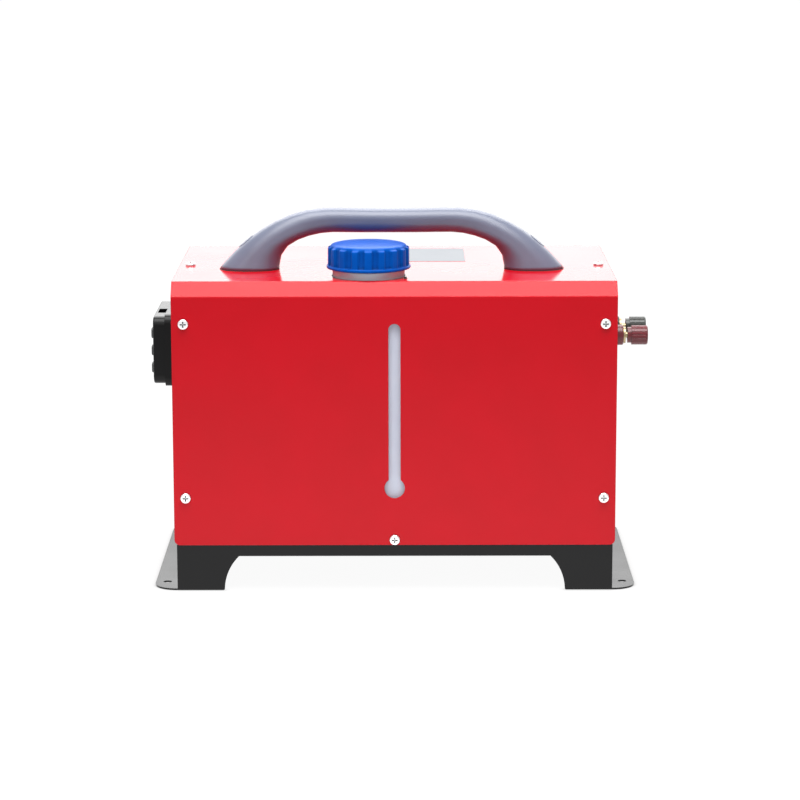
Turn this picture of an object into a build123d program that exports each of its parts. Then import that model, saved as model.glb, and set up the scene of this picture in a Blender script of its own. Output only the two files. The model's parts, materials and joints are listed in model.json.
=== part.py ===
from build123d import *
import math
import os

# A diesel air heater in one carry case. Sizes are in millimetres.
# X runs along the front to the right, Y from the front to the back, Z up.
# The origin is the centre of the four mounting holes, on the floor.

# Case cover: one sheet bent over the front, the top and the back
case_width = 390.0
case_depth = 250.0
case_height = 234.3
cover_sheet = 1.0
cover_bevel = 12.0
cover_bend_radius = 1.0
cover_corner_radius = 5.0

# Level slot in the front of the cover
slot_width = 10.5
slot_top_drop = 36.0
slot_bulb_radius = 9.0
slot_bulb_rise = 51.4

# End panels
panel_sheet = 1.2
panel_flange = 20.0

# Base tray with side flanges
base_height = 41.2
base_sheet = 1.5
base_inset = 2.0
base_lap_gap = 0.2
base_flange_reach = 21.1
base_flange_corner = 20.0
arch_height = 31.0
arch_round = 43.5
arch_leg = 42.0
arch_leg_round = 1.5
lug_width = 24.0
lug_over_screw = 6.0
mount_hole_radius = 3.7
mount_hole_from_edge = 10.4
mount_hole_from_end = 24.8

# Pan-head screws that hold the case together
screw_head_radius = 4.6
screw_head_height = 2.6
screw_head_round = 1.5
screw_shank_radius = 2.0
screw_length = 8.0
screw_cross_length = 5.2
screw_cross_width = 1.1
screw_cross_depth = 1.4
screw_hole_clearance = 0.15
side_screw_inset = 10.5
upper_screw_drop = 36.0
lower_screw_rise = 42.8
lug_screw_rise = 4.8
top_screw_inset = 10.0
top_screw_y = -15.0
floor_screw_from_end = 55.0

# Carry handle
handle_x = -2.4
handle_y = -32.0
handle_foot_half_width = 24.5
handle_grip_half_width = 12.0
handle_grip_share = 0.42
handle_tip_reach = 154.5
handle_foot_inner_reach = 101.5
handle_shoulder_top = 54.3
handle_shoulder_bottom = 32.8
handle_upper_lean = 7.0
handle_lower_lean = 0.5
handle_upper_places = ((6.6, 9.2), (29.5, 29.6), (57.2, 45.7), (80.5, 52.9), (114.5, handle_shoulder_top))
handle_lower_places = ((0.9, 8.0), (7.5, 20.0), (22.0, 28.0), (37.5, 32.0), (61.5, handle_shoulder_bottom))
handle_middle_top = 53.0
handle_middle_bottom = 32.6
handle_below_cover = 8.0
handle_stations = 24
handle_corner_share = 0.88
handle_screw_inset = 23.1
handle_screw_radius = 3.0
handle_screw_floor = 10.0
handle_screw_head_radius = 5.2
handle_screw_head_height = 3.6
handle_pocket_radius = 6.2
handle_cap_clearance = 0.1
handle_cap_proud = 0.5
handle_cap_thickness = 4.0
handle_nut_height = 5.0
handle_nut_across_corners = 11.5
handle_screw_past_nut = 2.0

# Fuel tank
tank_end_room = 30.0
tank_depth = 86.0
tank_height = 206.0
tank_wall = 2.5
tank_round = 12.0
tank_front_gap = 3.0
tank_pad_thickness = 4.8
tank_pad_inset = 8.0
neck_x = -22.8
neck_radius = 32.0
neck_bore_radius = 27.5
neck_thread_radius = 30.0
neck_hole_clearance = 0.6
drain_hole_radius = 1.8
drain_hole_reach = 38.5
drain_hole_angle = -31.9

# Fuel cap and its seal
cap_stand_off = 7.0
cap_height = 22.9
cap_top_thickness = 3.0
cap_rim_radius = 37.4
cap_rim_height = 3.0
cap_rib_radius = 36.4
cap_groove_depth = 1.6
cap_groove_width = 6.4
cap_ribs = 18
cap_crown_round = 3.2
cap_thread_clearance = 1.0
cap_dish_radius = 30.0
cap_dish_depth = 0.8
liner_thickness = 2.0
liner_clearance = 0.5

# Heat shield between the tank and the heater
shield_gap_to_tank = 4.0
shield_sheet = 1.0
shield_width = 344.0
shield_height = 208.8
shield_flange = 18.0
shield_screw_spread = 120.0

# Heater unit: its axis runs along X, air flows from right to left
heater_left_room = 25.0
heater_right_room = 17.0
heater_size = 136.0
heater_round = 28.0
heater_wall = 2.5
heater_back_room = 5.0
gasket_thickness = 3.0
gasket_half_width = 38.0
gasket_overhang = 14.0

# Air outlet on the left
outlet_radius = 37.5
outlet_wall = 2.0
outlet_proud = 10.0
outlet_flange_radius = 48.0
outlet_flange_thickness = 3.0
panel_hole_clearance = 2.8

# Heat exchanger with its foot
exchanger_start = 20.0
exchanger_length = 150.0
exchanger_core_radius = 46.0
exchanger_fin_radius = 58.0
exchanger_bore_radius = 40.0
exchanger_end_wall = 6.0
exchanger_fins = 28
exchanger_fin_thickness = 2.4
foot_start = 75.0
foot_length = 90.0
foot_half_width = 28.0
foot_clearance = 0.5
exhaust_stub_offset = 22.0
air_stub_offset = 68.0
exhaust_stub_radius = 12.0
air_stub_radius = 12.5
stub_wall = 1.5
stub_shoulder = 0.8
stub_depth = 12.0
stub_reach = 25.0
stub_hole_clearance = 1.5
heater_bolt_radius = 3.0
heater_bolt_head_radius = 5.8
heater_bolt_head_height = 4.0
heater_bolt_depth = 14.0
heater_bolt_inset = 8.0

# Burner
burner_radius = 34.0
burner_wall = 1.5
burner_inside = 110.0
burner_lip_radius = 46.0
burner_lip_thickness = 3.0
burner_head_radius = 50.0
burner_head_thickness = 17.0
burner_head_bore = 26.0
glow_plug_radius = 5.0
glow_plug_length = 40.0
glow_plug_clearance = 0.1
sensor_radius = 8.0
sensor_height = 5.0
sensor_offset = 40.0

# Blower, motor and control unit
blower_radius = 57.0
blower_length = 24.0
blower_wall = 5.0
blower_bore = 44.0
impeller_radius = 41.0
impeller_blades = 20
impeller_length = 12.0
impeller_gap = 3.0
motor_radius = 32.0
motor_length = 50.0
motor_wall = 2.5
motor_lip_radius = 52.0
motor_lip_thickness = 4.0
shaft_radius = 4.0
shaft_bore_clearance = 0.05
shaft_hole_clearance = 1.0
shaft_past_fan = 3.0
bearing_radius = 11.0
bearing_width = 7.0
fan_radius = 58.0
fan_hub_radius = 16.0
fan_length = 24.0
fan_blades = 9
fan_blade_pitch = 35.0
fan_blade_thickness = 2.0
fan_gap = 12.0
grille_thickness = 8.0
grille_bars = 9
grille_bar_width = 2.4
grille_border = 9.0
control_unit_length = 46.0
control_unit_width = 60.0
control_unit_bottom = 22.0
control_unit_top = 54.0
cable_hole_radius = 13.0

# Intake guard in the right panel
guard_radius = 54.0
guard_hole_radius = 50.0
guard_proud = 2.5
guard_rings = 4
guard_bar_width = 2.2
guard_spokes = 6
guard_clearance = 0.2

# Fuel line: filter and pump lie on one axis that climbs to the left
line_x = 124.0
line_from_shield = 21.0
line_z = 206.0
line_tilt = 12.0
nipple_radius = 2.5
nipple_bore = 1.3
nipple_length = 10.0
filter_radius = 10.0
filter_length = 28.0
link_gap = 4.0
pump_radius = 13.0
pump_length = 70.0
pump_end_radius = 9.0
pump_end_length = 8.0
plunger_radius = 4.0
plunger_clearance = 0.05
plunger_length = 30.0
plunger_travel = 3.0
plunger_room = 0.5
pump_mount_radius = 19.0
pump_mount_width = 20.0
pump_mount_boss = 14.0
hose_bore = 2.5
hose_radius = 4.5
hose_grip = 8.0
clamp_radius = 5.4
clamp_width = 5.0
elbow_x = 143.0
elbow_rise = 22.0
elbow_height = 20.0
elbow_radius = 5.0
elbow_flange_radius = 8.0
elbow_flange_thickness = 3.0
elbow_thread_radius = 4.0
inlet_pipe_offset = 180.0
inlet_pipe_height = 30.0
inlet_pipe_bend = 7.0
fuel_gap_share = 0.5

# Binding posts on the right panel
post_from_front = 25.0
post_spacing = 48.0
post_drop = 50.2
post_base_radius = 9.0
post_base_thickness = 6.8
post_shoulder_radius = 4.5
post_washer_radius = 8.0
post_washer_thickness = 2.0
post_collar_radius = 7.4
post_collar_thickness = 1.8
post_stud_radius = 2.5
post_stud_out = 22.0
post_stud_in = 14.0
post_fit = 0.1
knob_gap = 1.8
black_knob_turned_out = 2.2
knob_neck_radius = 7.0
knob_neck_length = 3.5
knob_radius = 8.55
knob_length = 14.2
knob_grooves = 18
knob_groove_depth = 0.35
knob_groove_width = 1.2
knob_end_round = 1.2
insert_radius = 4.6
insert_clearance = 0.08
insert_length = 12.0
insert_recess = 0.6
stud_bore_extra = 3.0
lug_thickness = 1.0
lug_radius = 5.0
lug_tail = 3.0
nut_height = 4.0
nut_across_corners = 9.2

# Controller on the left panel
controller_y_near = -110.0
controller_y_far = -10.0
controller_drop = 32.5
controller_height = 59.8
controller_back_thickness = 6.8
controller_back_margin = 2.0
controller_case_thickness = 10.4
controller_corner = 8.0
controller_wall = 1.8
controller_edge_round = 1.5
latch_from_near = 27.4
latch_length = 22.4
latch_width = 8.0
latch_drop = 3.8
latch_tab = 1.6
window_from_far = 12.0
window_width = 44.0
window_height = 36.0
lens_thickness = 1.4
lens_clearance = 0.1
screen_margin = 2.0
board_thickness = 1.6
board_margin = 4.0
board_peg_height = 1.4
board_peg_radius = 2.0
button_from_near = 17.0
button_pitch = 15.4
button_drop = 1.5
button_width = 12.0
button_height = 9.2
button_proud = 2.4
button_clearance = 0.2
button_travel = 1.0
button_lip = 1.2
button_lip_thickness = 1.0
button_lip_gap = 0.2
button_spare = 0.3

# Cables
cable_radius = 2.2
thin_cable_radius = 1.8
cable_spacing = 6.0
cable_entry_offset = 242.0
cable_rest_gap = 0.3

# Worked-out places that several pieces share
half_width = case_width / 2
half_depth = case_depth / 2
tank_width = case_width - 2 * tank_end_room
heater_left = heater_left_room - half_width
heater_length = case_width - heater_left_room - heater_right_room
heater_y = half_depth - heater_back_room - heater_size / 2
post_y = post_from_front - half_depth
cover_top = base_height + case_height
panel_inner = half_width - panel_sheet
base_half_width = half_width - base_inset
base_half_depth = half_depth - cover_sheet - base_lap_gap
flange_half_width = base_half_width + base_flange_reach
mount_x = flange_half_width - mount_hole_from_edge
mount_y = base_half_depth - mount_hole_from_end
screw_hole_radius = screw_shank_radius + screw_hole_clearance

tank_front = -(half_depth - cover_sheet - tank_front_gap)
tank_back = tank_front + tank_depth
tank_bottom = base_height + tank_pad_thickness
tank_top = tank_bottom + tank_height
neck_y = (tank_front + tank_back) / 2
cap_bottom = cover_top + cap_stand_off
cap_top = cap_bottom + cap_height
liner_top = cap_top - cap_top_thickness
neck_top = liner_top - liner_thickness
neck_collar_top = cap_bottom - 2 * liner_clearance
cap_bore_radius = neck_thread_radius + cap_thread_clearance

shield_front = tank_back + shield_gap_to_tank
shield_back = shield_front + shield_sheet
line_y = shield_back + line_from_shield

heater_bottom = base_height + gasket_thickness
heater_z = heater_bottom + heater_size / 2
heater_front = heater_y - heater_size / 2
heater_right = heater_left + heater_length
heater_top = heater_bottom + heater_size
fuel_y = shield_back + fuel_gap_share * (heater_front - shield_back)

exchanger_left = heater_left + exchanger_start
exchanger_right = exchanger_left + exchanger_length
foot_left = heater_left + foot_start
foot_right = foot_left + foot_length
burner_head_left = exchanger_right + burner_lip_thickness
burner_head_right = burner_head_left + burner_head_thickness
blower_right = burner_head_right + blower_length
motor_right = blower_right + motor_length
fan_left = motor_right + fan_gap
fan_right = fan_left + fan_length
impeller_right = blower_right - impeller_gap
impeller_left = impeller_right - impeller_length

post_z = cover_top - post_drop
post_base_outer = half_width + post_base_thickness
collar_outer = post_base_outer + post_collar_thickness
knob_start = collar_outer + knob_gap
knob_shoulder = knob_start + knob_neck_length
knob_end = knob_shoulder + knob_length

controller_top = cover_top - controller_drop
controller_bottom = controller_top - controller_height
controller_z = (controller_top + controller_bottom) / 2
controller_joint_x = -(half_width + controller_back_thickness)
controller_face_x = controller_joint_x - controller_case_thickness

CENTRED_BASE = (Align.CENTER, Align.CENTER, Align.MIN)


# ---- shared shapes ----

def block(x_span, y_span, z_span):
    size = [abs(span[1] - span[0]) for span in (x_span, y_span, z_span)]
    middle = [(span[0] + span[1]) / 2 for span in (x_span, y_span, z_span)]
    return Pos(*middle) * Box(*size)


def upright(radius, z_from, z_to, x=0.0, y=0.0):
    return Pos(x, y, z_from) * Cylinder(radius, z_to - z_from, align=CENTRED_BASE)


def crosswise(radius, x_from, x_to, y, z):
    return Pos(x_from, y, z) * Rot(0, 90, 0) * Cylinder(radius, x_to - x_from, align=CENTRED_BASE)


def fore_aft(radius, y_from, y_to, x, z):
    return Pos(x, y_from, z) * Rot(-90, 0, 0) * Cylinder(radius, y_to - y_from, align=CENTRED_BASE)


def hexagon(across_corners, height):
    return extrude(RegularPolygon(across_corners / 2, 6), height)


def heater_disc(radius, x_from, x_to):
    return crosswise(radius, x_from, x_to, heater_y, heater_z)


def rounded_block(x_span, y_span, z_span, axis, radius):
    body = block(x_span, y_span, z_span)
    return fillet(body.edges().filter_by(axis), radius)


def corner_radii(points):
    # The largest arc that both runs at a corner leave room for
    share = 0.45
    radii = []
    for before, here, after in zip(points, points[1:], points[2:]):
        run_in = Vector(*here) - Vector(*before)
        run_out = Vector(*after) - Vector(*here)
        half_turn = math.radians(run_in.get_angle(run_out)) / 2
        radii.append(share * min(run_in.length, run_out.length) / math.tan(half_turn))
    return radii


def run_tube(name, points, radius, bore=0.0):
    radii = corner_radii(points)
    path = FilletPolyline(*points, radius=radii)
    section = Circle(radius)
    if bore:
        section = section - Circle(bore)
    start = Plane(origin=path @ 0, z_dir=path % 0)
    tube = sweep(start * section, path=path)
    expected = section.area * path.length
    print(name, "radii", [round(r, 1) for r in radii], "volume share", round(tube.volume / expected, 4))
    return tube


# ---- case ----

def case_outline(inset, bottom, bend):
    y = half_depth - inset
    z = cover_top - inset
    bevel = cover_bevel - (2 - math.sqrt(2)) * inset
    points = [(-y, bottom), (y, bottom), (y, z - bevel), (y - bevel, z), (bevel - y, z), (-y, z - bevel)]
    outline = make_face(Polyline(*points, close=True))
    upper = outline.vertices().filter_by(lambda corner: corner.Y > (bottom + z) / 2)
    return Plane.YZ * fillet(upper, bend)


def screw_seats():
    # Each seat is where a screw head meets its sheet, with the turn that points the head outwards
    seats = []
    side_x = half_width - side_screw_inset
    for turn, y in ((Rot(90, 0, 0), -half_depth), (Rot(-90, 0, 0), half_depth)):
        for x in (-side_x, side_x):
            seats.append(Pos(x, y, cover_top - upper_screw_drop) * turn)
            seats.append(Pos(x, y, base_height + lower_screw_rise) * turn)
        seats.append(Pos(0, y, base_height + lug_screw_rise) * turn)
    for x in (top_screw_inset - half_width, half_width - top_screw_inset):
        seats.append(Pos(x, top_screw_y, cover_top))
    return seats


def floor_screw_seats():
    seats = []
    underside = base_height - base_sheet
    under = Rot(180, 0, 0)
    for x in (panel_flange / 2 - panel_inner, panel_inner - panel_flange / 2):
        for y in (floor_screw_from_end - half_depth, half_depth - floor_screw_from_end):
            seats.append(Pos(x, y, underside) * under)
    for x in (-shield_screw_spread, 0, shield_screw_spread):
        seats.append(Pos(x, shield_front + shield_flange / 2, underside) * under)
    return seats


def pan_screw():
    head = Cylinder(screw_head_radius, screw_head_height, align=CENTRED_BASE)
    head = fillet(head.edges().sort_by(Axis.Z)[-1], screw_head_round)
    shank = upright(screw_shank_radius, -screw_length, 0)
    cross_z = (screw_head_height - screw_cross_depth, screw_head_height)
    long_side = (-screw_cross_length / 2, screw_cross_length / 2)
    short_side = (-screw_cross_width / 2, screw_cross_width / 2)
    recess = block(long_side, short_side, cross_z) + block(short_side, long_side, cross_z)
    return head + shank - recess


def screw_holes(seats):
    hole = upright(screw_hole_radius, -screw_length, screw_head_height)
    return [seat * hole for seat in seats]


def level_slot():
    slot_radius = slot_width / 2
    top_centre = cover_top - slot_top_drop - slot_radius
    bulb_centre = base_height + slot_bulb_rise
    y_span = (-half_depth - cover_sheet, -half_depth + 2 * cover_sheet)
    slot = block((-slot_radius, slot_radius), y_span, (bulb_centre, top_centre))
    slot = slot + fore_aft(slot_radius, *y_span, 0, top_centre)
    return slot + fore_aft(slot_bulb_radius, *y_span, 0, bulb_centre)


def wrap_cover():
    outer = extrude(case_outline(0, base_height, cover_bend_radius + cover_sheet), half_width, both=True)
    inner = extrude(case_outline(cover_sheet, base_height - 1, cover_bend_radius), case_width, both=True)
    cover = outer - inner
    cover = fillet(cover.edges().filter_by(Axis.Y).group_by(Axis.Z)[0], cover_corner_radius)
    cover = cover - level_slot() - screw_holes(screw_seats())
    sheet_z = (cover_top - 2 * cover_sheet, cover_top + cover_sheet)
    cover = cover - upright(neck_radius + neck_hole_clearance, *sheet_z, neck_x, neck_y)
    angle = math.radians(drain_hole_angle)
    drain_x = neck_x + drain_hole_reach * math.cos(angle)
    drain_y = neck_y + drain_hole_reach * math.sin(angle)
    cover = cover - upright(drain_hole_radius, *sheet_z, drain_x, drain_y)
    for x in handle_screw_places():
        cover = cover - upright(handle_screw_radius + screw_hole_clearance, *sheet_z, x, handle_y)
    return cover


def pan_block(outline, bend_radius):
    # The lower fold of the end panel has the radius of the cover's lower corners
    pan = extrude(outline, panel_flange)
    lower = pan.edges().filter_by(Axis.Y).group_by(Axis.Z)[0]
    return fillet(lower.sort_by(Axis.X)[0], bend_radius)


def end_panel(side):
    outline = case_outline(cover_sheet, base_height, cover_bend_radius)
    hollow = case_outline(cover_sheet + panel_sheet, base_height + panel_sheet, cover_bend_radius)
    inner = pan_block(hollow, cover_corner_radius - panel_sheet)
    pan = pan_block(outline, cover_corner_radius) - Pos(panel_sheet, 0, 0) * inner
    if side > 0:
        pan = mirror(pan, about=Plane.YZ)
    panel = Pos(side * half_width, 0, 0) * pan
    return panel - screw_holes(screw_seats()) - screw_holes(floor_screw_seats())


def left_end_panel():
    panel = end_panel(-1)
    through = (-half_width - 1, -panel_inner + 1)
    panel = panel - crosswise(outlet_radius + panel_hole_clearance, *through, heater_y, heater_z)
    cable_hole = cable_radius + screw_hole_clearance
    return panel - crosswise(cable_hole, *through, controller_cable_y(), controller_z)


def right_end_panel():
    panel = end_panel(1)
    through = (panel_inner - 1, half_width + 1)
    panel = panel - crosswise(guard_hole_radius, *through, heater_y, heater_z)
    for y in (post_y, post_y + post_spacing):
        panel = panel - crosswise(post_shoulder_radius + post_fit, *through, y, post_z)
    return panel


def arch_opening():
    leg_x = base_half_width - arch_leg
    centre_x = leg_x - arch_round
    rise = math.sqrt(arch_round ** 2 - arch_height ** 2)
    below = 1.0
    depth = 2 * case_depth
    middle = block((-centre_x - rise, centre_x + rise), (-depth, depth), (-below, arch_height))
    sides = Part()
    for x in (-centre_x, centre_x):
        sides = sides + fore_aft(arch_round, -depth, depth, x, 0)
    low = block((-leg_x, leg_x), (-depth, depth), (-below, arch_height))
    return middle + (sides & low)


def round_arch_legs(tray):
    # The lower inner corner of each leg
    leg_x = base_half_width - arch_leg
    corners = tray.edges().filter_by(Axis.Y).group_by(Axis.Z)[0]
    near = [edge for edge in corners if abs(abs(edge.center().X) - leg_x) < arch_leg_round]
    return fillet(near, arch_leg_round)


def base_tray():
    x, y = base_half_width, base_half_depth
    tray = block((-x, x), (-y, y), (0, base_height))
    inner_x, inner_y = x - base_sheet, y - base_sheet
    tray = tray - block((-inner_x, inner_x), (-inner_y, inner_y), (-1, base_height - base_sheet))
    tray = round_arch_legs(tray - arch_opening())
    for side in (-1, 1):
        flange = block((inner_x, flange_half_width), (-y, y), (0, base_sheet))
        outer_edges = flange.edges().filter_by(Axis.Z).group_by(Axis.X)[-1]
        flange = fillet(outer_edges, base_flange_corner)
        tray = tray + (flange if side > 0 else mirror(flange, about=Plane.YZ))
    lug_z = (base_height - base_sheet, base_height + lug_screw_rise + lug_over_screw)
    for y_span in ((-y, -inner_y), (inner_y, y)):
        tray = tray + block((-lug_width / 2, lug_width / 2), y_span, lug_z)
    for hole_x in (-mount_x, mount_x):
        for hole_y in (-mount_y, mount_y):
            tray = tray - upright(mount_hole_radius, -1, 2 * base_sheet, hole_x, hole_y)
    plate_z = (base_height - 2 * base_sheet, base_height + base_sheet)
    for x, radius in stub_places():
        tray = tray - upright(radius + stub_hole_clearance, *plate_z, x, heater_y)
    for x, y in heater_bolt_places():
        tray = tray - upright(heater_bolt_radius + screw_hole_clearance, *plate_z, x, y)
    return tray - screw_holes(screw_seats()) - screw_holes(floor_screw_seats())


def case_screws():
    screw = pan_screw()
    return Compound(children=[seat * screw for seat in screw_seats() + floor_screw_seats()])


# ---- handle ----

def handle_screw_places():
    reach = handle_tip_reach - handle_screw_inset
    return (handle_x - reach, handle_x + reach)


def handle_curves():
    # The upper and lower line of the bar in its middle plane, with heights above the cover.
    # Both start below the cover, and what lies there is cut away.
    low = -handle_below_cover
    upper = [(handle_tip_reach - inset, height) for inset, height in handle_upper_places]
    lower = [(handle_foot_inner_reach - inset, height) for inset, height in handle_lower_places]
    upper = [(handle_tip_reach + handle_upper_lean, low)] + upper + [(0, handle_middle_top)]
    lower = [(handle_foot_inner_reach + handle_lower_lean, low)] + lower + [(0, handle_middle_bottom)]
    curves = []
    for half in (upper, lower):
        left = [(-x, 0, z) for x, z in half]
        right = [(x, 0, z) for x, z in reversed(half[:-1])]
        curves.append(Spline(*left, *right))
    return curves


def handle_half_width(share):
    # The bar is even in width along the grip and flares towards each foot
    from_middle = abs(2 * share - 1)
    flare = max(0, (from_middle - handle_grip_share) / (1 - handle_grip_share))
    return handle_grip_half_width + (handle_foot_half_width - handle_grip_half_width) * flare ** 1.5


def oval(half_height, half_width_here):
    corner = handle_corner_share * min(half_height, half_width_here)
    return RectangleRounded(2 * half_height, 2 * half_width_here, corner)


def handle_bar():
    upper, lower = handle_curves()
    sections = []
    for station in range(handle_stations + 1):
        share = station / handle_stations
        top, bottom = upper @ share, lower @ share
        across = (top - bottom) / 2
        plane = Plane(origin=(top + bottom) / 2, x_dir=across, z_dir=Vector(0, 1, 0).cross(across))
        sections.append(plane * oval(across.length, handle_half_width(share)))
    bar = Pos(handle_x, handle_y, cover_top) * loft(sections, ruled=True)
    reach = handle_tip_reach + handle_foot_half_width
    keep_x = (handle_x - reach, handle_x + reach)
    keep_y = (handle_y - 2 * handle_foot_half_width, handle_y + 2 * handle_foot_half_width)
    return bar & block(keep_x, keep_y, (cover_top, cover_top + 2 * handle_shoulder_top))


def handle_body():
    bar = handle_bar()
    floor_z = cover_top + handle_screw_floor
    shank_hole = handle_screw_radius + screw_hole_clearance
    for x in handle_screw_places():
        bar = bar - upright(handle_pocket_radius, floor_z, cap_top + cap_height, x, handle_y)
        bar = bar - upright(shank_hole, cover_top - 1, floor_z + 1, x, handle_y)
    return bar


def handle_screw_caps():
    # Plugs that fill the mouths of the screw pockets and stand a little proud of the slope
    bar = handle_bar()
    raised = Pos(0, 0, handle_cap_proud) * bar
    under = Pos(0, 0, -handle_cap_thickness) * bar
    plugs = []
    plug_radius = handle_pocket_radius - handle_cap_clearance
    for x in handle_screw_places():
        column = upright(plug_radius, cover_top, cap_top + cap_height, x, handle_y)
        plug = (column & raised) - under
        plugs.append(plug.solids().sort_by(Axis.Z)[-1])
    return Compound(children=plugs)


def handle_screws():
    floor_z = cover_top + handle_screw_floor
    nut_bottom = cover_top - cover_sheet - handle_nut_height
    screws = []
    for x in handle_screw_places():
        head = upright(handle_screw_head_radius, floor_z, floor_z + handle_screw_head_height, x, handle_y)
        head = fillet(head.edges().sort_by(Axis.Z)[-1], screw_head_round)
        shank = upright(handle_screw_radius, nut_bottom - handle_screw_past_nut, floor_z, x, handle_y)
        screws.append(head + shank)
    return Compound(children=screws)


def handle_nuts():
    bottom = cover_top - cover_sheet - handle_nut_height
    bore = upright(handle_screw_radius, -1, handle_nut_height + 1)
    nut = hexagon(handle_nut_across_corners, handle_nut_height) - bore
    return Compound(children=[Pos(x, handle_y, bottom) * nut for x in handle_screw_places()])


# ---- tank and cap ----

def tank_body(inset):
    half = tank_width / 2 - inset
    y_span = (tank_front + inset, tank_back - inset)
    body = block((-half, half), y_span, (tank_bottom + inset, tank_top - inset))
    return fillet(body.edges(), tank_round - inset)


def elbow_z():
    return tank_bottom + elbow_rise


def fuel_tank():
    tank = tank_body(0) - tank_body(tank_wall)
    tank = tank - upright(neck_radius, tank_top - 2 * tank_wall, tank_top + 1, neck_x, neck_y)
    through_back = (tank_back - 2 * tank_wall, tank_back + 1)
    return tank - fore_aft(elbow_thread_radius, *through_back, elbow_x, elbow_z())


def tank_neck():
    neck = upright(neck_radius, tank_top - tank_wall, neck_collar_top, neck_x, neck_y)
    neck = neck + upright(neck_thread_radius, neck_collar_top, neck_top, neck_x, neck_y)
    return neck - upright(neck_bore_radius, tank_top - 2 * tank_wall, neck_top + 1, neck_x, neck_y)


def tank_pad():
    half = tank_width / 2 - tank_pad_inset
    y_span = (tank_front + tank_pad_inset, tank_back - tank_pad_inset)
    return block((-half, half), y_span, (base_height, tank_bottom))


def fuel_cap():
    cap = Cylinder(cap_rib_radius, cap_height, align=CENTRED_BASE)
    cap = fillet(cap.edges().sort_by(Axis.Z)[-1], cap_crown_round)
    groove_reach = cap_rib_radius - cap_groove_depth + cap_groove_width / 2
    groove_z = (cap_rim_height, cap_height - cap_crown_round / 2)
    groove = upright(cap_groove_width / 2, *groove_z, groove_reach, 0)
    for number in range(cap_ribs):
        cap = cap - Rot(0, 0, 360 * number / cap_ribs) * groove
    cap = cap + Cylinder(cap_rim_radius, cap_rim_height, align=CENTRED_BASE)
    cap = cap - upright(cap_bore_radius, -1, cap_height - cap_top_thickness)
    cap = cap - upright(cap_dish_radius, cap_height - cap_dish_depth, cap_height + 1)
    return Pos(neck_x, neck_y, cap_bottom) * cap


def cap_liner():
    return upright(cap_bore_radius - liner_clearance, neck_top, liner_top, neck_x, neck_y)


# ---- heat shield ----

def heat_shield():
    half = shield_width / 2
    wall = block((-half, half), (shield_front, shield_back), (base_height, base_height + shield_height))
    flange_y = (shield_front, shield_front + shield_flange)
    shield = wall + block((-half, half), flange_y, (base_height, base_height + shield_sheet))
    through = (shield_front - 1, shield_back + 1)
    shield = shield - fore_aft(elbow_flange_radius + 1, *through, elbow_x, elbow_z())
    mount_point = line_point(pump_middle())
    shield = shield - fore_aft(screw_hole_radius, *through, mount_point.X, mount_point.Z)
    return shield - screw_holes(floor_screw_seats())


# ---- fuel line ----

def line_direction():
    tilt = math.radians(line_tilt)
    return Vector(-math.cos(tilt), 0, math.sin(tilt))


def line_point(distance):
    return Vector(line_x, line_y, line_z) + line_direction() * distance


def on_line(radius, start, end):
    plane = Plane(origin=line_point(start), z_dir=line_direction())
    return extrude(plane * Circle(radius), end - start)


def filter_start():
    return nipple_length


def filter_end():
    return filter_start() + filter_length


def pump_start():
    return filter_end() + 2 * nipple_length + link_gap


def pump_end():
    return pump_start() + pump_length


def pump_middle():
    return (pump_start() + pump_end()) / 2


def fuel_filter():
    body = on_line(filter_radius, filter_start(), filter_end())
    body = fillet(body.edges(), filter_radius / 5)
    body = body + on_line(nipple_radius, 0, filter_end() + nipple_length)
    return body - on_line(nipple_bore, -1, filter_end() + nipple_length + 1)


def plunger_start():
    return pump_middle() - plunger_length / 2


def pump_body():
    body = on_line(pump_radius, pump_start() + pump_end_length, pump_end() - pump_end_length)
    body = body + on_line(pump_end_radius, pump_start(), pump_end())
    body = body + on_line(nipple_radius, pump_start() - nipple_length, pump_end() + nipple_length)
    body = body - on_line(nipple_bore, pump_start() - nipple_length - 1, pump_end() + nipple_length + 1)
    chamber_start = plunger_start() - plunger_room
    chamber_end = plunger_start() + plunger_length + plunger_travel + plunger_room
    return body - on_line(plunger_radius + plunger_clearance, chamber_start, chamber_end)


def pump_plunger():
    return on_line(plunger_radius, plunger_start(), plunger_start() + plunger_length)


def pump_mount():
    start = pump_middle() - pump_mount_width / 2
    end = pump_middle() + pump_mount_width / 2
    ring = on_line(pump_mount_radius, start, end)
    centre = line_point(pump_middle())
    boss_z = (centre.Z - pump_mount_boss / 2, centre.Z + pump_mount_boss / 2)
    boss_x = (centre.X - pump_mount_width / 2, centre.X + pump_mount_width / 2)
    ring = ring + block(boss_x, (shield_back, centre.Y), boss_z)
    ring = ring - on_line(pump_radius, start - pump_mount_width, end + pump_mount_width)
    return ring + fore_aft(screw_shank_radius, tank_back + 1, shield_back + 1, centre.X, centre.Z)


def tank_outlet():
    z = elbow_z()
    fitting = fore_aft(elbow_flange_radius, tank_back, tank_back + elbow_flange_thickness, elbow_x, z)
    fitting = fitting + fore_aft(elbow_thread_radius, tank_back - tank_wall, fuel_y, elbow_x, z)
    fitting = fitting + Pos(elbow_x, fuel_y, z) * Sphere(elbow_radius)
    fitting = fitting + upright(nipple_radius, z, z + elbow_height, elbow_x, fuel_y)
    fitting = fitting - upright(nipple_bore, z, z + elbow_height + 1, elbow_x, fuel_y)
    return fitting - fore_aft(nipple_bore, tank_back - tank_wall - 1, fuel_y, elbow_x, z)


def inlet_pipe_x():
    return heater_left + inlet_pipe_offset


def fuel_inlet_pipe():
    x = inlet_pipe_x()
    corner = (x, fuel_y, heater_z)
    top = (x, fuel_y, heater_z + inlet_pipe_height)
    path = FilletPolyline((x, heater_y - burner_head_radius, heater_z), corner, top, radius=inlet_pipe_bend)
    start = Plane(origin=path @ 0, z_dir=path % 0)
    return sweep(start * (Circle(nipple_radius) - Circle(nipple_bore)), path=path)


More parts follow.
